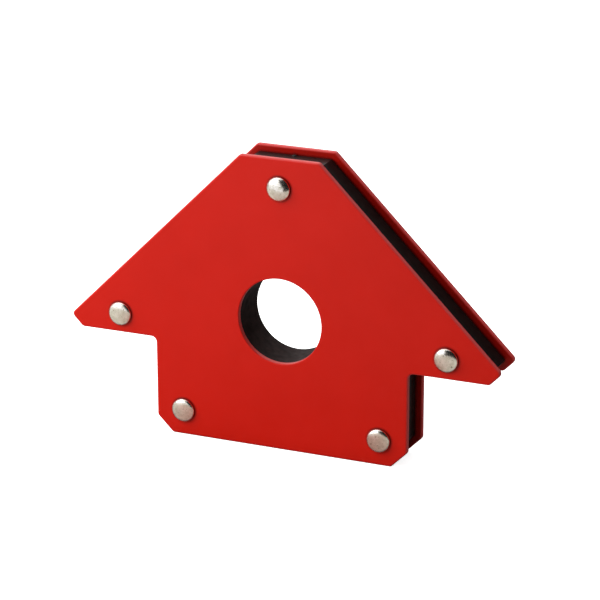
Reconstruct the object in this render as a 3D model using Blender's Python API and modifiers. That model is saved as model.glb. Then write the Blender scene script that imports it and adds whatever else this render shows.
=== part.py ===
"""Arrow-type welding magnet holder.

Two stamped steel plates of one arrow outline are riveted together over a moulded core, which
holds six ferrite blocks with their poles against the plates. A liner around the bore runs from
the front plate through the core and the back plate.

The arrow stands on its base: X runs along its width, Y through its thickness and Z up. The
origin is the middle of the base's footprint, and the front plate faces -Y.
"""

import math

import bmesh
import bpy
from mathutils import Matrix, Vector

MM = 0.001
GAP = 0.3 * MM  # left free between two pieces that touch on the real object

# The arrow outline that both plates share
WIDTH = 120.0 * MM
HEIGHT = 78.7 * MM
TOP_WIDTH = 21.6 * MM
STEM_WIDTH = 70.4 * MM
ARM_UNDERSIDE = 26.2 * MM  # height of the arms' lower sides above the base
TIP_CUT = 3.2 * MM  # width of the slanted cut at each arm's tip
FOOT_CHAMFER = 4.4 * MM
CORNER_RADIUS = 1.2 * MM
NOTCH_RADIUS = 1.5 * MM  # fillet between the stem and the arm's underside

# Thickness, from front to back
THICKNESS = 12.5 * MM
PLATE = 1.5 * MM
ROLLED_EDGE = 0.45 * MM  # rounding round the front of both plates, where the die rolled it over

# The through hole, and its liner, which ends flush with the back plate's outer face
BORE_RADIUS = 11.5 * MM
BORE_HEIGHT = 35.3 * MM
LINER_DRAFT = 0.3 * MM  # how much wider than the bore the liner starts behind the front plate
LINER_WALL = 1.5 * MM  # at the front, where it is thinnest

# Rivets and the tubes on their shanks
RIVET_SHANK = 1.6 * MM
RIVET_HEAD = 3.2 * MM
RIVET_DOME = 1.3 * MM
RIVET_RIM = 0.25 * MM  # straight edge of the head under the dome
RIVET_TAIL = 2.6 * MM
TAIL_HEIGHT = 1.1 * MM
TAIL_LIP = 0.35 * MM  # rounding of the rolled tail
TAIL_HOLE = 1.0 * MM
TAIL_HOLE_DEPTH = 3.5 * MM
SPACER_WALL = 0.5 * MM
RIVET_PLACES = {
    "top": (0.0, 70.9 * MM),
    "arm_left": (-45.4 * MM, 31.5 * MM),
    "arm_right": (45.4 * MM, 31.5 * MM),
    "foot_left": (-27.5 * MM, 6.95 * MM),
    "foot_right": (27.5 * MM, 6.95 * MM),
}

# The core and the ferrite blocks in its pockets
CORE_RECESS = 1.9 * MM  # how far the core stands back from the plates' edges
CORE_WALL = 2.2 * MM
BLOCK_LENGTH = 20.0 * MM
BLOCK_WIDTH = 15.0 * MM
BLOCK_CHAMFER = 0.5 * MM
POCKET_RADIUS = 0.5 * MM
BASE_BLOCK_X = 11.0 * MM
FIRST_SLOPE_BLOCK = 16.0 * MM  # from the slope's top corner to the first block's middle
SLOPE_BLOCK_PITCH = 22.0 * MM

ARC_STEP = math.radians(15)
BORE_SEGMENTS = 64
HOLE_SEGMENTS = 24
SMOOTH_ANGLE = math.radians(35)
WELD_DISTANCE = 0.001 * MM

# What follows from the sizes above
PLATE_Y = (THICKNESS - PLATE) / 2
CORE_THICKNESS = THICKNESS - 2 * PLATE - 2 * GAP
LINER_OUTSIDE = BORE_RADIUS + LINER_DRAFT + LINER_WALL
LINER_HOLE = LINER_OUTSIDE + GAP  # in the core and in the back plate
RIVET_HOLE = RIVET_SHANK + GAP
SPACER_RADIUS = RIVET_HOLE + SPACER_WALL
FLAT_TO_UPRIGHT = (math.pi / 2, 0.0, 0.0)  # turns a piece's own XY plane upright, its +Z to the front

parts = bpy.data.collections.new("welding_magnet_holder")


def clear_scene():
    for obj in list(bpy.data.objects):
        bpy.data.objects.remove(obj, do_unlink=True)
    bpy.context.scene.collection.children.link(parts)


def material(name, color, roughness, metallic):
    made = bpy.data.materials.new(name)
    made.use_nodes = True
    shader = made.node_tree.nodes["Principled BSDF"]
    shader.inputs["Base Color"].default_value = (*color, 1.0)
    shader.inputs["Roughness"].default_value = roughness
    shader.inputs["Metallic"].default_value = metallic
    made.diffuse_color = (*color, 1.0)
    return made


def add_part(name, mesh, surface, x=0.0, y=0.0, z=0.0, rotation=FLAT_TO_UPRIGHT):
    mesh.materials.clear()
    mesh.materials.append(surface)
    obj = bpy.data.objects.new(name, mesh)
    obj.location = (x, y, z)
    obj.rotation_euler = rotation
    parts.objects.link(obj)
    return obj


def arrow_corners():
    """The arrow's corners as (x, z, radius), anticlockwise from the right foot."""
    tip_top = HEIGHT - (WIDTH - TOP_WIDTH) / 2  # the slopes fall at 45 degrees
    right = [
        (STEM_WIDTH / 2 - FOOT_CHAMFER, 0.0, CORNER_RADIUS),
        (STEM_WIDTH / 2, FOOT_CHAMFER, CORNER_RADIUS),
        (STEM_WIDTH / 2, ARM_UNDERSIDE, NOTCH_RADIUS),
        (WIDTH / 2 - TIP_CUT, ARM_UNDERSIDE, CORNER_RADIUS),
        (WIDTH / 2, tip_top, CORNER_RADIUS),
        (TOP_WIDTH / 2, HEIGHT, CORNER_RADIUS),
    ]
    left = [(-x, z, radius) for x, z, radius in reversed(right)]
    return right + left


def corner_frame(corners, index):
    """A corner's place, unit vectors to its neighbours, half its angle, and 1 or -1 as it juts out or in."""
    here = Vector(corners[index][:2])
    before = (Vector(corners[index - 1][:2]) - here).normalized()
    after = (Vector(corners[(index + 1) % len(corners)][:2]) - here).normalized()
    juts = 1 if after.cross(before) > 0 else -1
    return here, before, after, before.angle(after) / 2, juts


def inset(corners, depth):
    """The corners of the outline whose sides all lie depth further in."""
    moved = []
    for index, (_, _, radius) in enumerate(corners):
        here, before, after, half_angle, juts = corner_frame(corners, index)
        here += (before + after).normalized() * juts * depth / math.sin(half_angle)
        moved.append((here.x, here.y, radius))
    return moved


def rounded(corners):
    """The outline's points, with an arc of each corner's radius."""
    outline = []
    for index, (_, _, radius) in enumerate(corners):
        here, before, after, half_angle, juts = corner_frame(corners, index)
        centre = here + (before + after).normalized() * radius / math.sin(half_angle)
        spoke = here + before * radius / math.tan(half_angle) - centre
        turn = math.pi - 2 * half_angle
        steps = math.ceil(turn / ARC_STEP)
        for step in range(steps + 1):
            outline.append(centre + Matrix.Rotation(juts * turn * step / steps, 2) @ spoke)
    return outline


def circle(x, z, radius, segments):
    turns = [2 * math.pi * step / segments for step in range(segments)]
    return [Vector((x + radius * math.cos(turn), z + radius * math.sin(turn))) for turn in turns]


def flat_mesh(name, outlines, thickness):
    """A flat piece of this thickness: the first outline is its edge and the others are its holes."""
    curve = bpy.data.curves.new(name, "CURVE")
    curve.dimensions = "2D"
    curve.fill_mode = "BOTH"
    curve.extrude = thickness / 2
    for outline in outlines:
        spline = curve.splines.new("POLY")
        spline.points.add(len(outline) - 1)
        for point, (x, z) in zip(spline.points, outline):
            point.co = (x, z, 0.0, 1.0)
        spline.use_cyclic_u = True
    drawing = bpy.data.objects.new(name, curve)
    parts.objects.link(drawing)
    graph = bpy.context.evaluated_depsgraph_get()
    mesh = bpy.data.meshes.new_from_object(drawing.evaluated_get(graph))
    bpy.data.objects.remove(drawing, do_unlink=True)
    bpy.data.curves.remove(curve)
    welded = bmesh.new()
    welded.from_mesh(mesh)
    bmesh.ops.remove_doubles(welded, verts=welded.verts, dist=WELD_DISTANCE)
    bmesh.ops.recalc_face_normals(welded, faces=welded.faces)
    welded.to_mesh(mesh)
    welded.free()
    mesh.name = name
    return mesh


def turned_mesh(name, profile, segments, ring=False):
    """The profile of (radius, height) points, outer side running down, turned about the piece's own Z."""
    points = [(radius, 0.0, height) for radius, height in profile]
    edges = [(index, index + 1) for index in range(len(points) - 1)]
    if ring:
        edges.append((len(points) - 1, 0))
    mesh = bpy.data.meshes.new(name)
    mesh.from_pydata(points, edges, [])
    blank = bpy.data.objects.new(name, mesh)
    parts.objects.link(blank)
    screw = blank.modifiers.new("turn", "SCREW")
    screw.steps = segments
    screw.render_steps = segments
    screw.use_merge_vertices = True
    screw.merge_threshold = WELD_DISTANCE
    graph = bpy.context.evaluated_depsgraph_get()
    turned = bpy.data.meshes.new_from_object(blank.evaluated_get(graph))
    bpy.data.objects.remove(blank, do_unlink=True)
    bpy.data.meshes.remove(mesh)
    turned.name = name
    turned.shade_smooth()
    turned.set_sharp_from_angle(angle=SMOOTH_ANGLE)
    return turned


def round_front_edges(plate):
    """Rounds every edge round the plate's front face, which is at the top of its own Z."""
    weights = plate.data.attributes.new("bevel_weight_edge", "FLOAT", "EDGE")
    for edge in plate.data.edges:
        ends = [plate.data.vertices[index].co.z for index in edge.vertices]
        on_front_face = all(abs(height - PLATE / 2) < WELD_DISTANCE for height in ends)
        weights.data[edge.index].value = 1.0 if on_front_face else 0.0
    bevel = plate.modifiers.new("rolled_edge", "BEVEL")
    bevel.limit_method = "WEIGHT"
    bevel.width = ROLLED_EDGE
    bevel.segments = 2


def make_plates(paint):
    outlines = [rounded(arrow_corners())]
    outlines += [circle(x, z, RIVET_HOLE, HOLE_SEGMENTS) for x, z in RIVET_PLACES.values()]
    for name, y, hole in (("front_plate", -PLATE_Y, BORE_RADIUS), ("back_plate", PLATE_Y, LINER_HOLE)):
        bore = circle(0.0, BORE_HEIGHT, hole, BORE_SEGMENTS)
        round_front_edges(add_part(name, flat_mesh(name, outlines + [bore], PLATE), paint, y=y))


def make_rivets(steel):
    seat = THICKNESS / 2 + GAP
    rim_top = seat + RIVET_RIM
    dome_radius = (RIVET_HEAD**2 + RIVET_DOME**2) / (2 * RIVET_DOME)
    dome_centre = rim_top + RIVET_DOME - dome_radius
    dome_angle = math.asin(RIVET_HEAD / dome_radius)
    dome_steps = 5
    dome = []
    for step in range(dome_steps + 1):
        angle = dome_angle * step / dome_steps
        dome.append((dome_radius * math.sin(angle), dome_centre + dome_radius * math.cos(angle)))
    tail_end = -seat - TAIL_HEIGHT
    profile = dome + [
        (RIVET_HEAD, seat),
        (RIVET_SHANK, seat),
        (RIVET_SHANK, -seat),
        (RIVET_TAIL, -seat),
        (RIVET_TAIL, tail_end + TAIL_LIP),
        (RIVET_TAIL - TAIL_LIP, tail_end),
        (TAIL_HOLE + TAIL_LIP, tail_end),
        (TAIL_HOLE, tail_end + TAIL_LIP),
        (TAIL_HOLE, tail_end + TAIL_HOLE_DEPTH),
        (0.0, tail_end + TAIL_HOLE_DEPTH),
    ]
    mesh = turned_mesh("rivet", profile, HOLE_SEGMENTS)
    for place, (x, z) in RIVET_PLACES.items():
        add_part("rivet_" + place, mesh, steel, x=x, z=z)


def make_spacers(zinc):
    profile = [
        (SPACER_RADIUS, CORE_THICKNESS / 2),
        (SPACER_RADIUS, -CORE_THICKNESS / 2),
        (RIVET_HOLE, -CORE_THICKNESS / 2),
        (RIVET_HOLE, CORE_THICKNESS / 2),
    ]
    mesh = turned_mesh("spacer", profile, HOLE_SEGMENTS, ring=True)
    for place, (x, z) in RIVET_PLACES.items():
        add_part("spacer_" + place, mesh, zinc, x=x, z=z)


def make_bore_liner(plastic):
    profile = [
        (LINER_OUTSIDE, CORE_THICKNESS / 2),
        (LINER_OUTSIDE, -THICKNESS / 2),
        (BORE_RADIUS, -THICKNESS / 2),
        (BORE_RADIUS + LINER_DRAFT, CORE_THICKNESS / 2),
    ]
    mesh = turned_mesh("bore_liner", profile, BORE_SEGMENTS, ring=True)
    add_part("bore_liner", mesh, plastic, z=BORE_HEIGHT)


def block_places():
    """Each ferrite block's name, middle and tilt: two in each slope and two over the base."""
    depth = CORE_RECESS + CORE_WALL + GAP + BLOCK_WIDTH / 2
    down_slope = Vector((1.0, -1.0)).normalized()
    into_core = Vector((-1.0, -1.0)).normalized()
    places = []
    for side, mirrored in (("right", 1), ("left", -1)):
        for index, level in enumerate(("upper", "lower")):
            along = FIRST_SLOPE_BLOCK + index * SLOPE_BLOCK_PITCH
            x, z = Vector((TOP_WIDTH / 2, HEIGHT)) + down_slope * along + into_core * depth
            places.append((f"magnet_slope_{level}_{side}", mirrored * x, z, -mirrored * math.pi / 4))
        places.append((f"magnet_base_{side}", mirrored * BASE_BLOCK_X, depth, 0.0))
    return places


def pocket(x, z, tilt):
    """The outline of the core's pocket around one block."""
    half_length = BLOCK_LENGTH / 2 + GAP
    half_width = BLOCK_WIDTH / 2 + GAP
    signs = ((-1, -1), (1, -1), (1, 1), (-1, 1))
    turn = Matrix.Rotation(tilt, 2)
    corners = []
    for along, across in signs:
        corner = Vector((x, z)) + turn @ Vector((along * half_length, across * half_width))
        corners.append((corner.x, corner.y, POCKET_RADIUS))
    return rounded(corners)


def make_core_frame(plastic):
    outlines = [rounded(inset(arrow_corners(), CORE_RECESS))]
    outlines.append(circle(0.0, BORE_HEIGHT, LINER_HOLE, BORE_SEGMENTS))
    for x, z in RIVET_PLACES.values():
        outlines.append(circle(x, z, SPACER_RADIUS + GAP, HOLE_SEGMENTS))
    for _, x, z, tilt in block_places():
        outlines.append(pocket(x, z, tilt))
    add_part("core_frame", flat_mesh("core_frame", outlines, CORE_THICKNESS), plastic)


def make_magnets(ferrite):
    block = bmesh.new()
    bmesh.ops.create_cube(block, size=1.0)
    size = (BLOCK_LENGTH, BLOCK_WIDTH, CORE_THICKNESS)
    bmesh.ops.scale(block, verts=block.verts, vec=size)
    mesh = bpy.data.meshes.new("magnet")
    block.to_mesh(mesh)
    block.free()
    for name, x, z, tilt in block_places():
        magnet = add_part(name, mesh, ferrite, x=x, z=z)
        magnet.rotation_euler.rotate_axis("Z", tilt)
        bevel = magnet.modifiers.new("chamfer", "BEVEL")
        bevel.width = BLOCK_CHAMFER
        bevel.segments = 1


def main():
    clear_scene()
    black_plastic = material("black_plastic", (0.012, 0.012, 0.012), 0.45, 0.0)
    make_plates(material("red_powder_coat", (0.60, 0.017, 0.012), 0.32, 0.0))
    make_core_frame(black_plastic)
    make_bore_liner(material("liner_plastic", (0.015, 0.015, 0.014), 0.4, 0.0))
    make_rivets(material("nickel_plated_steel", (0.72, 0.69, 0.64), 0.18, 1.0))
    make_spacers(material("zinc_plated_steel", (0.55, 0.56, 0.58), 0.35, 1.0))
    make_magnets(material("ferrite", (0.05, 0.048, 0.047), 0.6, 0.0))


main()
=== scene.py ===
import math

import bmesh
import bpy
from mathutils import Matrix, Vector


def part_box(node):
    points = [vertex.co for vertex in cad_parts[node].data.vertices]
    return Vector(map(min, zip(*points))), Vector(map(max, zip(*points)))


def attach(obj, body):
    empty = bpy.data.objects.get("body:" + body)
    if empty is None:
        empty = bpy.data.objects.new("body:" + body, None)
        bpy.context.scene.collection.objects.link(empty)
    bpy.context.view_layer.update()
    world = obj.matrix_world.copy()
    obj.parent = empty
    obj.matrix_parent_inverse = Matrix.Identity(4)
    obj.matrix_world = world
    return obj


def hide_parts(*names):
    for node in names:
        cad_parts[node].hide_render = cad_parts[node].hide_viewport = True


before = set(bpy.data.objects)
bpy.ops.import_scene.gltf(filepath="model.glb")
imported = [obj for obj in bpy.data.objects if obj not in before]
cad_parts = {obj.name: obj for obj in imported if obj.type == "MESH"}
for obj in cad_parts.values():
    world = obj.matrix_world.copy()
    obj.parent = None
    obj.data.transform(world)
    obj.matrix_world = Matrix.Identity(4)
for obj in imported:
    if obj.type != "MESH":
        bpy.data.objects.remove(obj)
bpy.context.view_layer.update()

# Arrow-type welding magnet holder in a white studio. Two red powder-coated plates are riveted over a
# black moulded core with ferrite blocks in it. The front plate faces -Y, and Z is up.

MM = 0.001

# The arrow outline that both plates share
WIDTH = 120.0 * MM
HEIGHT = 78.7 * MM
TOP_WIDTH = 21.6 * MM
STEM_WIDTH = 70.4 * MM
ARM_UNDERSIDE = 26.2 * MM
TIP_CUT = 3.2 * MM
FOOT_CHAMFER = 4.4 * MM
CORNER_RADIUS = 1.2 * MM
NOTCH_RADIUS = 1.5 * MM
SMALLEST_RADIUS = 0.12 * MM  # of a corner's arc, however far the outline is moved in

# Edges of the stamped plates: (how far the rounding runs into the face, how far down the edge).
# Both plates have the rolled edge that the die leaves on their front.
DIE_ROLL = (0.55 * MM, 0.42 * MM)
BURR_EDGE = (0.2 * MM, 0.2 * MM)
BORE_ROLL = (0.3 * MM, 0.3 * MM)
BORE_INNER_EDGE = (0.15 * MM, 0.15 * MM)
RIVET_HOLE_EDGE = (0.1 * MM, 0.1 * MM)

# How much the coat thins over an edge and takes a painted highlight there, from 0 to 1
EDGE_WEAR_AND_HIGHLIGHT = 1.0
BORE_WEAR_AND_HIGHLIGHT = 0.5

# The core
CORE_RECESS = 1.9 * MM
CORE_WALL = 2.2 * MM
CORE_EDGE = (0.35 * MM, 0.35 * MM)
CORE_HOLE_EDGE = (0.1 * MM, 0.1 * MM)
SEAM = 0.04 * MM  # hairline left between pieces that touch
FIT_GAP = 0.3 * MM
BLOCK_LENGTH = 20.0 * MM
BLOCK_WIDTH = 15.0 * MM
POCKET_RADIUS = 0.5 * MM
BASE_BLOCK_X = 11.0 * MM
FIRST_SLOPE_BLOCK = 16.0 * MM
SLOPE_BLOCK_PITCH = 22.0 * MM
SLOPE_BLOCKS = 2  # along each slope
GATE_RADIUS = 0.7 * MM
GATE_HEIGHT = 0.3 * MM  # above the core's top, and as far below it
GATE_Y = 4.0 * MM

# The bore, and its liner, which ends flush with the back plate's outer face
BORE_RADIUS = 11.5 * MM
BORE_HEIGHT = 35.3 * MM
LINER_DRAFT = 0.3 * MM
LINER_OUTSIDE = 13.3 * MM
LINER_EDGE = 0.25 * MM
LINER_HOLE = LINER_OUTSIDE + SEAM  # in the core and the back plate

# Rivets
RIVET_SHANK = 1.6 * MM
RIVET_HEAD = 3.2 * MM
HEAD_HEIGHT = 1.78 * MM
SHOULDER = 0.38 * MM  # height of the head's widest line above the plate
UNDERCUT = 0.4 * MM  # how far the head curves in below that line
RIVET_TAIL = 2.6 * MM
TAIL_HEIGHT = 1.1 * MM
TAIL_HOLE = 1.0 * MM
TAIL_HOLE_DEPTH = 3.5 * MM
TAIL_FLATNESS = 0.75  # height of the rolled lip over half its width
TAIL_EDGE = 0.1 * MM
SPACER_WALL = 0.5 * MM

# How finely the round shapes are divided
ARC_STEP = math.radians(6)
EDGE_STEPS = 6
BORE_SEGMENTS = 160
RIVET_SEGMENTS = 72
HEAD_STEPS = 24
TAIL_STEPS = 16
GATE_SEGMENTS = 32
GATE_STEPS = 16
SMOOTH_ANGLE = math.radians(35)

# Colours, as linear red, green and blue. A material with patches is drawn in those, and its plain colour
# is for a viewer that can't read its nodes.
COAT_RED = (0.58, 0.0057, 0.0034)
COAT_PATCHES = ((0.565, 0.0074, 0.0018), (0.595, 0.0084, 0.0026))
COAT_SHADED = (0.12, 0.002, 0.001)  # on the plates' inner faces
COAT_THIN_AND_HIGHLIGHT = (0.60, 0.06, 0.058)  # the thinner coat over the edges, with a painted highlight
COAT_CREVICE_SHADE = (0.10, 0.0015, 0.001)  # painted shade round the rivets and in other narrow gaps
CORE_BLACK = (0.0055, 0.0050, 0.0046)
LINER_BLACK = (0.016, 0.0085, 0.0078)
PLASTIC_PALER = 1.9  # the plastics' paler patches, as a multiple of their colour
NICKEL = (0.72, 0.69, 0.64)
NICKEL_PATCHES = ((0.62, 0.59, 0.52), (0.78, 0.75, 0.715))
NICKEL_STAIN = (0.22, 0.20, 0.15)
ZINC = (0.55, 0.56, 0.58)
ZINC_PATCHES = ((0.50, 0.51, 0.54), (0.62, 0.62, 0.61))
FERRITE = (0.05, 0.048, 0.047)
FERRITE_PATCHES = ((0.038, 0.037, 0.037), (0.065, 0.062, 0.06))
WHITE = (1.0, 1.0, 1.0)
BLACK = (0.0, 0.0, 0.0)
ROOM_DARK = (0.02, 0.02, 0.02)
TABLE_TOP = (0.42, 0.40, 0.37)
TABLE_NEAR = ((0.78, 0.77, 0.66), (0.68, 0.65, 0.58))  # by the object, lighter as painted light where the object shades the card, and away from it

# Camera
CAMERA_AZIMUTH = math.radians(22.753)
CAMERA_ELEVATION = math.radians(19.448)
CAMERA_ROLL = math.radians(-0.08)
CAMERA_DISTANCE = 666.26 * MM
CAMERA_TARGET = Vector((3.114 * MM, 0.0, 39.654 * MM))
CAMERA_LENS = 155.5  # in millimetres, as is the sensor
CAMERA_SENSOR = 36.0
CAMERA_RANGE = (0.01, 20.0)

# Lights, as (place, target, size, power)
KEY_LIGHT = ((-0.24, -0.22, 0.24), (0.0, 0.0, 0.05), (0.3, 0.25), 1.0)
TOP_LIGHT = ((-0.2, 0.0, 0.5), (0.0, 0.0, 0.0), (0.4, 0.3), 0.45)
WORLD_STRENGTH = 1.1

# The floor, and the grey one below it
FLOOR_RADIUS = 3.0
FLOOR_SEGMENTS = 96
FLOOR_WHITE = 0.95
FLOOR_GLOW = 0.8
BOUNCE_GREY = 0.22
BOUNCE_DROP = 1.0 * MM

# The table before the object, as lines (y, z) across it: its far side, its edge by the object, and the
# top of the slope that rises from that edge for the rivets to reflect
TABLE_FAR = (-2.5, -0.5 * MM)
TABLE_EDGE = (-0.008, -0.5 * MM)
SKYLINE = (-0.08, 0.046)
TABLE_HALF_WIDTH = 2.0
TABLE_NEAR_HALF_WIDTH = 0.2

# Upright cards round the object, as (start, end, height), and the corners of one that leans over it
ROOM_RIGHT = ((0.14, -0.5), (0.5, 0.15), 1.6)
ROOM_BEHIND = ((0.5, 0.15), (0.12, 0.55), 0.5)
HORIZON = ((-0.3, -0.105), (0.03, -0.105), 0.08)
HORIZON_GLOW = 1.1
ROOM_NEAR = ((0.022, *SKYLINE), (0.25, 0.0, SKYLINE[1]), (0.25, 0.0, 0.35), (-0.04, -0.1, 0.17))

front_low, front_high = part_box("front_plate")
back_low, back_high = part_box("back_plate")
RIVETS = ("rivet_top", "rivet_arm_left", "rivet_arm_right", "rivet_foot_left", "rivet_foot_right")
rivet_places = []
for rivet in RIVETS:
    low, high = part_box(rivet)
    rivet_places.append(((low.x + high.x) / 2, (low.z + high.z) / 2))
RIVET_HOLE = RIVET_SHANK + FIT_GAP
SPACER_HOLE = RIVET_HOLE + SPACER_WALL + FIT_GAP


# ---------------------------------------------------------------- outlines


def arrow_corners():
    """The arrow's corners as (x, z, radius), anticlockwise from the right foot."""
    tip_top = HEIGHT - (WIDTH - TOP_WIDTH) / 2
    right = [
        (STEM_WIDTH / 2 - FOOT_CHAMFER, 0.0, CORNER_RADIUS),
        (STEM_WIDTH / 2, FOOT_CHAMFER, CORNER_RADIUS),
        (STEM_WIDTH / 2, ARM_UNDERSIDE, NOTCH_RADIUS),
        (WIDTH / 2 - TIP_CUT, ARM_UNDERSIDE, CORNER_RADIUS),
        (WIDTH / 2, tip_top, CORNER_RADIUS),
        (TOP_WIDTH / 2, HEIGHT, CORNER_RADIUS),
    ]
    return right + [(-x, z, radius) for x, z, radius in reversed(right)]


def outline(corners, depth=0.0):
    """Points and outward normals of the rounded outline, moved in by depth with its arcs kept parallel."""
    found = []
    for index, (x, z, radius) in enumerate(corners):
        here = Vector((x, z))
        before = (Vector(corners[index - 1][:2]) - here).normalized()
        after = (Vector(corners[(index + 1) % len(corners)][:2]) - here).normalized()
        juts = 1 if after.cross(before) > 0 else -1
        half_angle = before.angle(after) / 2
        middle = (before + after).normalized()
        here += middle * juts * depth / math.sin(half_angle)
        radius = max(radius - juts * depth, SMALLEST_RADIUS)
        centre = here + middle * radius / math.sin(half_angle)
        spoke = here + before * radius / math.tan(half_angle) - centre
        turn = math.pi - 2 * half_angle
        steps = math.ceil(turn / ARC_STEP)
        for step in range(steps + 1):
            arm = Matrix.Rotation(juts * turn * step / steps, 2) @ spoke
            found.append((centre + arm, arm.normalized() * juts))
    return found


def hole(x, z, radius, segments, depth=0.0):
    """Points and normals of a round hole's edge, widened by depth; the normals point into the hole."""
    found = []
    for step in range(segments):
        angle = 2 * math.pi * step / segments
        arm = Vector((math.cos(angle), math.sin(angle)))
        found.append((Vector((x, z)) + arm * (radius + depth), -arm))
    return found


def pocket(x, z, tilt, depth=0.0):
    """Points and normals of the pocket round one ferrite block, widened by depth."""
    half_length = BLOCK_LENGTH / 2 + FIT_GAP
    half_width = BLOCK_WIDTH / 2 + FIT_GAP
    turn = Matrix.Rotation(tilt, 2)
    corners = []
    for along, across in ((-1, -1), (1, -1), (1, 1), (-1, 1)):
        corner = Vector((x, z)) + turn @ Vector((along * half_length, across * half_width))
        corners.append((corner.x, corner.y, POCKET_RADIUS))
    return [(point, -normal) for point, normal in outline(corners, -depth)]


def block_places():
    """Each ferrite block's middle and tilt."""
    depth = CORE_RECESS + CORE_WALL + FIT_GAP + BLOCK_WIDTH / 2
    down_slope = Vector((1.0, -1.0)).normalized()
    into_core = Vector((-1.0, -1.0)).normalized()
    places = []
    for mirrored in (1, -1):
        for index in range(SLOPE_BLOCKS):
            along = FIRST_SLOPE_BLOCK + index * SLOPE_BLOCK_PITCH
            x, z = Vector((TOP_WIDTH / 2, HEIGHT)) + down_slope * along + into_core * depth
            places.append((mirrored * x, z, -mirrored * math.pi / 4))
        places.append((mirrored * BASE_BLOCK_X, depth, 0.0))
    return places


# ---------------------------------------------------------------- meshes


def edge_profile(outer, inner, outer_y, inner_y):
    """The wall of a flat piece from one face to the other as (depth, y, outward, y_normal) rows."""
    facing = 1 if outer_y > inner_y else -1
    rows = []
    for (run, drop), face_y, side in ((outer, outer_y, facing), (inner, inner_y, -facing)):
        rounding = []
        for step in range(EDGE_STEPS + 1):
            angle = math.pi / 2 * (1 - step / EDGE_STEPS)
            normal = Vector((math.cos(angle) / run, math.sin(angle) / drop)).normalized()
            depth = run * (1 - math.cos(angle))
            y = face_y - side * drop * (1 - math.sin(angle))
            rounding.append((depth, y, normal.x, side * normal.y))
        rows += rounding if side == facing else rounding[::-1]
    return rows


def slab(name, outer_y, inner_y, edges):
    """A flat piece between two planes. Each of edges is (function of depth, outer edge, inner edge,
    thinning and painted highlight).

    Its attribute "rim" runs from 0 on the faces to the edge's thinning and painted highlight on its wall,
    and its attribute "inside" from 0 on the outer face to 1 on the inner one.
    """
    made = bmesh.new()
    rim = made.verts.layers.float.new("rim")
    inside = made.verts.layers.float.new("inside")
    normals = []
    face_rims = ([], [])
    # The last entry of each edge sets both the coat's thinning and its painted highlight.
    for place, outer, inner, wear_and_highlight in edges:
        rings = []
        profile = edge_profile(outer, inner, outer_y, inner_y)
        for row, (depth, y, outward, y_normal) in enumerate(profile):
            ring = []
            for point, normal in place(depth):
                vertex = made.verts.new((point.x, y, point.y))
                vertex[rim] = outward * wear_and_highlight
                vertex[inside] = row / (len(profile) - 1)
                ring.append(vertex)
                normals.append(Vector((normal.x * outward, y_normal, normal.y * outward)))
            rings.append(ring)
        for upper, lower in zip(rings, rings[1:]):
            for index in range(len(upper)):
                after = (index + 1) % len(upper)
                made.faces.new((upper[index], upper[after], lower[after], lower[index]))
        for rims, ring in zip(face_rims, (rings[0], rings[-1])):
            rims += [made.edges.get((ring[index - 1], ring[index])) for index in range(len(ring))]
    for rims in face_rims:
        bmesh.ops.triangle_fill(made, use_beauty=True, edges=rims)
    bmesh.ops.recalc_face_normals(made, faces=made.faces)
    mesh = mesh_from(made, name)
    mesh.normals_split_custom_set_from_vertices(normals)
    return mesh


def turned(name, profile, segments, x, z, closed=False):
    """The (radius, y) profile turned about the axis through x, z. A radius of 0 closes it on the axis."""
    made = bmesh.new()
    rings = []
    for radius, y in profile:
        if radius == 0:
            rings.append([made.verts.new((x, y, z))])
            continue
        ring = []
        for step in range(segments):
            angle = 2 * math.pi * step / segments
            ring.append(made.verts.new((x + radius * math.cos(angle), y, z + radius * math.sin(angle))))
        rings.append(ring)
    pairs = list(zip(rings, rings[1:]))
    if closed:
        pairs.append((rings[-1], rings[0]))
    for upper, lower in pairs:
        for index in range(segments):
            after = (index + 1) % segments
            if len(upper) == 1:
                made.faces.new((upper[0], lower[after], lower[index]))
            elif len(lower) == 1:
                made.faces.new((upper[index], upper[after], lower[0]))
            else:
                made.faces.new((upper[index], upper[after], lower[after], lower[index]))
    bmesh.ops.recalc_face_normals(made, faces=made.faces)
    mesh = mesh_from(made, name)
    mesh.set_sharp_from_angle(angle=SMOOTH_ANGLE)
    return mesh


def corner_arc(centre, radius, start, end):
    """Points of an arc in the (radius, y) plane, from one angle to the other in degrees."""
    points = []
    for step in range(EDGE_STEPS + 1):
        angle = math.radians(start + (end - start) * step / EDGE_STEPS)
        points.append((centre[0] + radius * math.cos(angle), centre[1] + radius * math.sin(angle)))
    return points


def mesh_from(made, name):
    """A smooth mesh of what was made, which is then freed."""
    mesh = bpy.data.meshes.new(name)
    made.to_mesh(mesh)
    made.free()
    mesh.shade_smooth()
    return mesh


def add_object(name, data):
    made = bpy.data.objects.new(name, data)
    bpy.context.scene.collection.objects.link(made)
    return made


def add_piece(name, mesh, surface, slot, *nodes):
    """A piece of the holder, in place of these nodes."""
    mesh.materials.append(surface)
    piece = add_object(name, mesh)
    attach(piece, "root")
    if nodes:
        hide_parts(*nodes)


# ---------------------------------------------------------------- materials


def new_material(name, color, roughness, metallic=0.0, specular=0.5):
    made = bpy.data.materials.new(name)
    made.use_nodes = True
    shader = made.node_tree.nodes["Principled BSDF"]
    shader.inputs["Base Color"].default_value = (*color, 1.0)
    shader.inputs["Roughness"].default_value = roughness
    shader.inputs["Metallic"].default_value = metallic
    shader.inputs["Specular IOR Level"].default_value = specular
    return made, made.node_tree, shader


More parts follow.
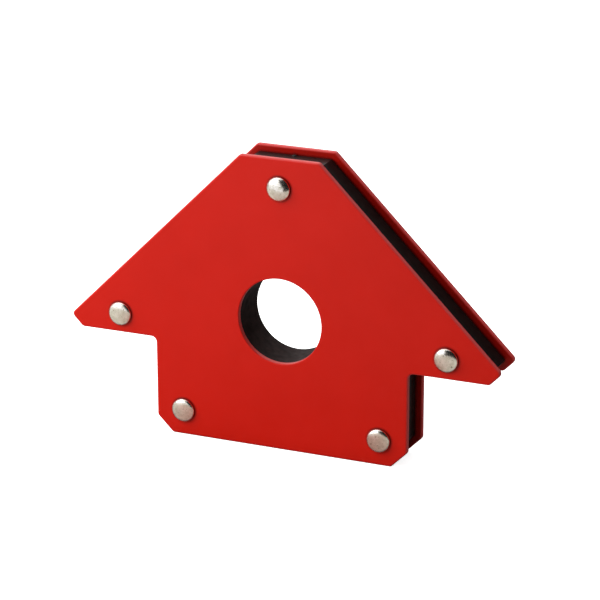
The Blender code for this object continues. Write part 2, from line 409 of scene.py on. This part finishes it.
def noise(tree, scale, detail, stretch=(1.0, 1.0, 1.0)):
    """Noise in the object's own metres, so a scale of 1000 makes features of about 1 mm."""
    place = tree.nodes.new("ShaderNodeTexCoord")
    mapping = tree.nodes.new("ShaderNodeMapping")
    mapping.inputs["Scale"].default_value = stretch
    texture = tree.nodes.new("ShaderNodeTexNoise")
    texture.inputs["Scale"].default_value = scale
    texture.inputs["Detail"].default_value = detail
    tree.links.new(place.outputs["Object"], mapping.inputs["Vector"])
    tree.links.new(mapping.outputs["Vector"], texture.inputs["Vector"])
    return texture.outputs["Fac"]


def ramp(tree, value, low, high, first, last):
    """Maps value from first..last onto low..high."""
    node = tree.nodes.new("ShaderNodeMapRange")
    node.inputs["From Min"].default_value = first
    node.inputs["From Max"].default_value = last
    node.inputs["To Min"].default_value = low
    node.inputs["To Max"].default_value = high
    tree.links.new(value, node.inputs["Value"])
    return node.outputs["Result"]


def mottle(tree, scale, detail, low=0.0, high=1.0, first=0.3, last=0.7):
    """Noise in patches that run from low, where it is under first, to high, where it is over last."""
    return ramp(tree, noise(tree, scale, detail), low, high, first, last)


def along_y(tree, first, last):
    """From 0 at y = first to 1 at y = last."""
    place = tree.nodes.new("ShaderNodeTexCoord")
    parts = tree.nodes.new("ShaderNodeSeparateXYZ")
    tree.links.new(place.outputs["Object"], parts.inputs["Vector"])
    return ramp(tree, parts.outputs["Y"], low=0.0, high=1.0, first=first, last=last)


def attribute(tree, name, strength, first, last):
    """From 0 where the mesh's attribute is at first to this strength where it is at last."""
    node = tree.nodes.new("ShaderNodeAttribute")
    node.attribute_name = name
    return ramp(tree, node.outputs["Fac"], low=0.0, high=strength, first=first, last=last)


def crevice_shade_mask(tree, distance):
    """From 1 in a narrow gap to 0 on open surface, as a mask for painted shade."""
    node = tree.nodes.new("ShaderNodeAmbientOcclusion")
    node.samples = 16
    node.inputs["Distance"].default_value = distance
    return ramp(tree, node.outputs["AO"], low=1.0, high=0.0, first=0.5, last=0.95)


def blend(tree, factor, colors):
    """A colour between two others, by factor."""
    node = tree.nodes.new("ShaderNodeMix")
    node.data_type = "RGBA"
    for socket, color in zip(("A", "B"), colors):
        node.inputs[socket].default_value = (*color, 1.0)
    tree.links.new(factor, node.inputs["Factor"])
    return node.outputs["Result"]


def blend_over(tree, factor, below, color):
    """A colour laid over an earlier blend, by factor."""
    node = tree.nodes.new("ShaderNodeMix")
    node.data_type = "RGBA"
    node.inputs["B"].default_value = (*color, 1.0)
    tree.links.new(below, node.inputs["A"])
    tree.links.new(factor, node.inputs["Factor"])
    return node.outputs["Result"]


def bump(tree, height, depth):
    """A bump of this depth in metres."""
    node = tree.nodes.new("ShaderNodeBump")
    node.inputs["Strength"].default_value = 1.0
    node.inputs["Distance"].default_value = depth
    tree.links.new(height, node.inputs["Height"])
    return node.outputs["Normal"]


def dress(tree, shader, color, gloss, relief):
    """Gives the shader its finished colour, roughness and bump."""
    tree.links.new(color, shader.inputs["Base Color"])
    tree.links.new(gloss, shader.inputs["Roughness"])
    tree.links.new(relief, shader.inputs["Normal"])


def powder_coat():
    """Red with slight orange peel, paler where it thins over the edges and where a painted highlight lies
    on them, darker with painted shade on the inner faces and in narrow gaps.
    """
    made, tree, shader = new_material("red_powder_coat", COAT_RED, roughness=0.3, specular=0.15)
    inner_face = attribute(tree, "inside", strength=0.5, first=0.6, last=1.0)
    edge = attribute(tree, "rim", strength=1.0, first=0.2, last=0.9)
    red = blend(tree, mottle(tree, scale=90.0, detail=3.0), COAT_PATCHES)
    red = blend_over(tree, inner_face, red, COAT_SHADED)
    # Paler over the edges, where the coat thins, with a painted highlight as well
    red = blend_over(tree, edge, red, COAT_THIN_AND_HIGHLIGHT)
    # Painted shade in narrow gaps, such as round the rivets' heads
    red = blend_over(tree, crevice_shade_mask(tree, distance=0.8 * MM), red, COAT_CREVICE_SHADE)
    gloss = mottle(tree, scale=400.0, detail=3.0, low=0.285, high=0.34)
    orange_peel = bump(tree, noise(tree, scale=650.0, detail=1.0), depth=0.012 * MM)
    dress(tree, shader, red, gloss, orange_peel)
    return made


def moulded_plastic(name, color, roughness, grain, specular):
    """Plastic with a roughness between these two and a fine grain of this depth."""
    low, high = roughness
    made, tree, shader = new_material(name, color, (low + high) / 2, specular=specular)
    paler = tuple(channel * PLASTIC_PALER for channel in color)
    tone = blend(tree, mottle(tree, scale=600.0, detail=4.0, first=0.35), (color, paler))
    gloss = mottle(tree, scale=700.0, detail=3.0, low=low, high=high)
    dress(tree, shader, tone, gloss, bump(tree, noise(tree, scale=6000.0, detail=2.0), grain))
    return made


def nickel_plate():
    """Mottled plating with dark stains and small pits."""
    made, tree, shader = new_material("nickel_plated_steel", NICKEL, roughness=0.2, metallic=1.0)
    patches = mottle(tree, scale=1200.0, detail=4.0, first=0.35, last=0.65)
    stains = mottle(tree, scale=2000.0, detail=1.0, low=0.8, high=0.0, first=0.27, last=0.36)
    plating = blend_over(tree, stains, blend(tree, patches, NICKEL_PATCHES), NICKEL_STAIN)
    gloss = mottle(tree, scale=1100.0, detail=4.0, low=0.19, high=0.265)
    pits = mottle(tree, scale=3500.0, detail=2.0, first=0.28, last=0.42)
    dress(tree, shader, plating, gloss, bump(tree, pits, depth=0.004 * MM))
    return made


def zinc_plate():
    """Bright plating with the drawn tube's lines along it."""
    made, tree, shader = new_material("zinc_plated_steel", ZINC, roughness=0.35, metallic=1.0)
    patches = mottle(tree, scale=900.0, detail=3.0, first=0.35, last=0.65)
    lines = noise(tree, scale=3000.0, detail=2.0, stretch=(1.0, 0.05, 1.0))
    gloss = ramp(tree, lines, low=0.28, high=0.42, first=0.3, last=0.7)
    dress(tree, shader, blend(tree, patches, ZINC_PATCHES), gloss, bump(tree, lines, depth=0.003 * MM))
    return made


def ferrite():
    """Dull grey ceramic."""
    made, tree, shader = new_material("ferrite", FERRITE, roughness=0.6)
    tone = blend(tree, mottle(tree, scale=500.0, detail=5.0), FERRITE_PATCHES)
    gloss = mottle(tree, scale=2500.0, detail=4.0, low=0.45, high=0.75)
    dress(tree, shader, tone, gloss, bump(tree, noise(tree, scale=3500.0, detail=5.0), depth=0.02 * MM))
    return made


# ---------------------------------------------------------------- the object


def make_plates(paint):
    corners = arrow_corners()
    rivet_holes = []
    for x, z in rivet_places:
        rivet_holes.append((
            lambda depth, x=x, z=z: hole(x, z, RIVET_HOLE, RIVET_SEGMENTS, depth),
            RIVET_HOLE_EDGE,
            RIVET_HOLE_EDGE,
            EDGE_WEAR_AND_HIGHLIGHT,
        ))
    for name, node, outer_y, inner_y, radius, outer_edge, inner_edge in (
        ("plate_front", "front_plate", front_low.y, front_high.y, BORE_RADIUS, DIE_ROLL, BURR_EDGE),
        ("plate_back", "back_plate", back_high.y, back_low.y, LINER_HOLE, BURR_EDGE, DIE_ROLL),
    ):
        sides = (lambda depth: outline(corners, depth), outer_edge, inner_edge, EDGE_WEAR_AND_HIGHLIGHT)
        bore = (
            lambda depth, radius=radius: hole(0.0, BORE_HEIGHT, radius, BORE_SEGMENTS, depth),
            BORE_ROLL,
            BORE_INNER_EDGE,
            BORE_WEAR_AND_HIGHLIGHT,
        )
        mesh = slab(name, outer_y, inner_y, [sides] + rivet_holes + [bore])
        add_piece(name, mesh, paint, "powder_coat", node)


def make_core(plastic):
    corners = arrow_corners()
    holes = [lambda depth: hole(0.0, BORE_HEIGHT, LINER_HOLE, BORE_SEGMENTS, depth)]
    for x, z in rivet_places:
        holes.append(lambda depth, x=x, z=z: hole(x, z, SPACER_HOLE, RIVET_SEGMENTS, depth))
    for x, z, tilt in block_places():
        holes.append(lambda depth, x=x, z=z, tilt=tilt: pocket(x, z, tilt, depth))
    edges = [(lambda depth: outline(corners, CORE_RECESS + depth), CORE_EDGE, CORE_EDGE, EDGE_WEAR_AND_HIGHLIGHT)]
    edges += [(place, CORE_HOLE_EDGE, CORE_HOLE_EDGE, EDGE_WEAR_AND_HIGHLIGHT) for place in holes]
    mesh = slab("core_moulding", front_high.y + SEAM, back_low.y - SEAM, edges)
    add_piece("core_moulding", mesh, plastic, "core_plastic", "core_frame")


def make_gate(plastic):
    """The low pip that the mould's gate left on the core's top."""
    profile = [(0.0, -GATE_HEIGHT)]
    for step in range(1, GATE_STEPS):
        angle = math.pi * step / GATE_STEPS
        profile.append((GATE_RADIUS * math.sin(angle), -GATE_HEIGHT * math.cos(angle)))
    profile.append((0.0, GATE_HEIGHT))
    mesh = turned("core_gate", profile, GATE_SEGMENTS, 0.0, 0.0)
    upright_turn = Matrix.Rotation(math.pi / 2, 4, "X")
    mesh.transform(Matrix.Translation((0.0, GATE_Y, HEIGHT - CORE_RECESS)) @ upright_turn)
    add_piece("core_gate", mesh, plastic, "core_plastic")


def make_liner(plastic):
    front = front_high.y + SEAM
    back = back_high.y
    profile = [(LINER_OUTSIDE, front)]
    profile += corner_arc((LINER_OUTSIDE - LINER_EDGE, back - LINER_EDGE), LINER_EDGE, 0, 90)
    profile += corner_arc((BORE_RADIUS + LINER_EDGE, back - LINER_EDGE), LINER_EDGE, 90, 180)
    profile += [(BORE_RADIUS + LINER_DRAFT, front)]
    mesh = turned("bore_sleeve", profile, BORE_SEGMENTS, 0.0, BORE_HEIGHT, closed=True)
    add_piece("bore_sleeve", mesh, plastic, "liner_plastic", "bore_liner")


def rivet_profile():
    """The rivet from the top of its head to the bottom of its tail's hole, as (radius, y)."""
    seat = front_low.y
    widest = seat - SHOULDER
    profile = []
    for step in range(HEAD_STEPS + 1):
        angle = math.pi / 2 * step / HEAD_STEPS
        height = (HEAD_HEIGHT - SHOULDER) * math.cos(angle)
        profile.append((RIVET_HEAD * math.sin(angle), widest - height))
    for step in range(1, EDGE_STEPS + 1):
        angle = math.pi / 2 * step / EDGE_STEPS
        inward = UNDERCUT * (1 - math.cos(angle))
        profile.append((RIVET_HEAD - inward, widest + SHOULDER * math.sin(angle)))
    tail_seat = back_high.y
    tail_end = tail_seat + TAIL_HEIGHT
    roll = (RIVET_TAIL - TAIL_HOLE) / 2
    roll_height = roll * TAIL_FLATNESS
    profile += [(RIVET_SHANK, seat), (RIVET_SHANK, tail_seat), (RIVET_TAIL - TAIL_EDGE, tail_seat)]
    for step in range(TAIL_STEPS + 1):
        angle = math.pi * step / TAIL_STEPS
        radius = TAIL_HOLE + roll * (1 + math.cos(angle))
        profile.append((radius, tail_end - roll_height * (1 - math.sin(angle))))
    profile += [(TAIL_HOLE, tail_end - TAIL_HOLE_DEPTH), (0.0, tail_end - TAIL_HOLE_DEPTH)]
    return profile


def make_rivets(steel):
    profile = rivet_profile()
    for node, (x, z) in zip(RIVETS, rivet_places):
        name = node.replace("rivet", "fastener")
        add_piece(name, turned(name, profile, RIVET_SEGMENTS, x, z), steel, "rivet_steel", node)


def dress_hidden_nodes(zinc, magnet):
    """The spacers and the ferrite blocks keep their CAD shapes and take a finished surface."""
    for name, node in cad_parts.items():
        for start, surface in (("spacer_", zinc), ("magnet_", magnet)):
            if name.startswith(start):
                node.data.materials.clear()
                node.data.materials.append(surface)


# ---------------------------------------------------------------- studio


def look_at(obj, place, target, roll=0.0):
    obj.location = place
    toward = (target - place).to_track_quat("-Z", "Y")
    obj.rotation_mode = "QUATERNION"
    obj.rotation_quaternion = toward @ Matrix.Rotation(roll, 3, "Z").to_quaternion()


def add_camera():
    data = bpy.data.cameras.new("camera")
    data.lens = CAMERA_LENS
    data.sensor_width = CAMERA_SENSOR
    data.clip_start, data.clip_end = CAMERA_RANGE
    camera = add_object("camera", data)
    level = math.cos(CAMERA_ELEVATION)
    away = Vector((
        math.sin(CAMERA_AZIMUTH) * level,
        -math.cos(CAMERA_AZIMUTH) * level,
        math.sin(CAMERA_ELEVATION),
    ))
    look_at(camera, CAMERA_TARGET + away * CAMERA_DISTANCE, CAMERA_TARGET, CAMERA_ROLL)
    bpy.context.scene.camera = camera


def add_softbox(name, place, target, size, power):
    data = bpy.data.lights.new(name, "AREA")
    data.shape = "RECTANGLE"
    data.size, data.size_y = size
    data.energy = power
    look_at(add_object(name, data), Vector(place), Vector(target))


def add_card(name, corners, surface, reflected_only=True):
    """A card that the camera doesn't see. It also lights and shades the object, unless reflected only."""
    mesh = bpy.data.meshes.new(name)
    mesh.from_pydata(corners, [], [(0, 1, 2, 3)])
    mesh.materials.append(surface)
    card = add_object(name, mesh)
    card.visible_camera = False
    card.visible_transmission = False
    card.visible_diffuse = not reflected_only
    card.visible_shadow = not reflected_only


def upright(start, end, height):
    """Corners of a card that stands on the floor from start to end, each (x, y)."""
    return ((*start, 0.0), (*end, 0.0), (*end, height), (*start, height))


def across(half_width, start, end):
    """Corners of a card right across the scene, from start to end, each (y, z)."""
    return ((-half_width, *start), (half_width, *start), (half_width, *end), (-half_width, *end))


def matt(name, color, glow=0.0):
    made, _, shader = new_material(name, color, 1.0, specular=0.0)
    shader.inputs["Emission Color"].default_value = (*WHITE, 1.0)
    shader.inputs["Emission Strength"].default_value = glow
    return made


def table_surface():
    """Beige, in one shade close to the object, lighter as painted light where the object shades the card,
    and another away from it.
    """
    made, tree, shader = new_material("table", TABLE_NEAR[0], 1.0, specular=0.0)
    # Painted light on the card close to the object
    shade = blend(tree, along_y(tree, TABLE_EDGE[0], SKYLINE[0]), TABLE_NEAR)
    tree.links.new(shade, shader.inputs["Base Color"])
    return made


def add_floor():
    """The white floor, and a grey one just below it that the object is lit by and reflects."""
    made = bmesh.new()
    bmesh.ops.create_circle(made, cap_ends=True, radius=FLOOR_RADIUS, segments=FLOOR_SEGMENTS)
    for name, albedo, glow, drop, seen in (
        ("floor", FLOOR_WHITE, FLOOR_GLOW, 0.0, True),
        ("floor_bounce", BOUNCE_GREY, 0.0, BOUNCE_DROP, False),
    ):
        mesh = bpy.data.meshes.new(name)
        made.to_mesh(mesh)
        mesh.materials.append(matt(name, (albedo, albedo, albedo), glow))
        floor = add_object(name, mesh)
        floor.location.z = -drop
        floor.visible_camera = seen
        floor.visible_diffuse = not seen
        floor.visible_glossy = not seen
        floor.visible_shadow = not seen
    made.free()


def add_world():
    world = bpy.data.worlds.new("studio")
    world.use_nodes = True
    background = world.node_tree.nodes["Background"]
    background.inputs["Color"].default_value = (*WHITE, 1.0)
    background.inputs["Strength"].default_value = WORLD_STRENGTH
    bpy.context.scene.world = world


def add_room():
    """A dark room, which shades the object from the right and shows as the rivets' dark patches.

    The horizon is the bright strip that they reflect between the table and the room.
    """
    dark = matt("dark_room", ROOM_DARK)
    add_card("room_right", upright(*ROOM_RIGHT), dark, reflected_only=False)
    add_card("room_behind", upright(*ROOM_BEHIND), dark)
    add_card("room_near", ROOM_NEAR, dark)
    add_card("horizon", upright(*HORIZON), matt("horizon", BLACK, HORIZON_GLOW))


def add_table():
    """The table before the object, and the slope from its edge that only shows in reflections."""
    near = across(TABLE_NEAR_HALF_WIDTH, TABLE_EDGE, SKYLINE)
    add_card("table_near", near, table_surface())
    far = across(TABLE_HALF_WIDTH, TABLE_FAR, TABLE_EDGE)
    add_card("table", far, matt("table_top", TABLE_TOP), reflected_only=False)


def make_studio():
    add_world()
    add_floor()
    add_camera()
    add_softbox("key_light", *KEY_LIGHT)
    add_softbox("top_light", *TOP_LIGHT)
    add_room()
    add_table()


def main():
    bpy.context.scene.view_settings.view_transform = "Standard"
    make_plates(powder_coat())
    core_black = moulded_plastic("core_black", CORE_BLACK, (0.28, 0.4), grain=0.002 * MM, specular=0.2)
    liner_black = moulded_plastic("liner_black", LINER_BLACK, (0.4, 0.55), grain=0.001 * MM, specular=0.02)
    make_core(core_black)
    make_gate(core_black)
    make_liner(liner_black)
    make_rivets(nickel_plate())
    dress_hidden_nodes(zinc_plate(), ferrite())
    make_studio()


main()
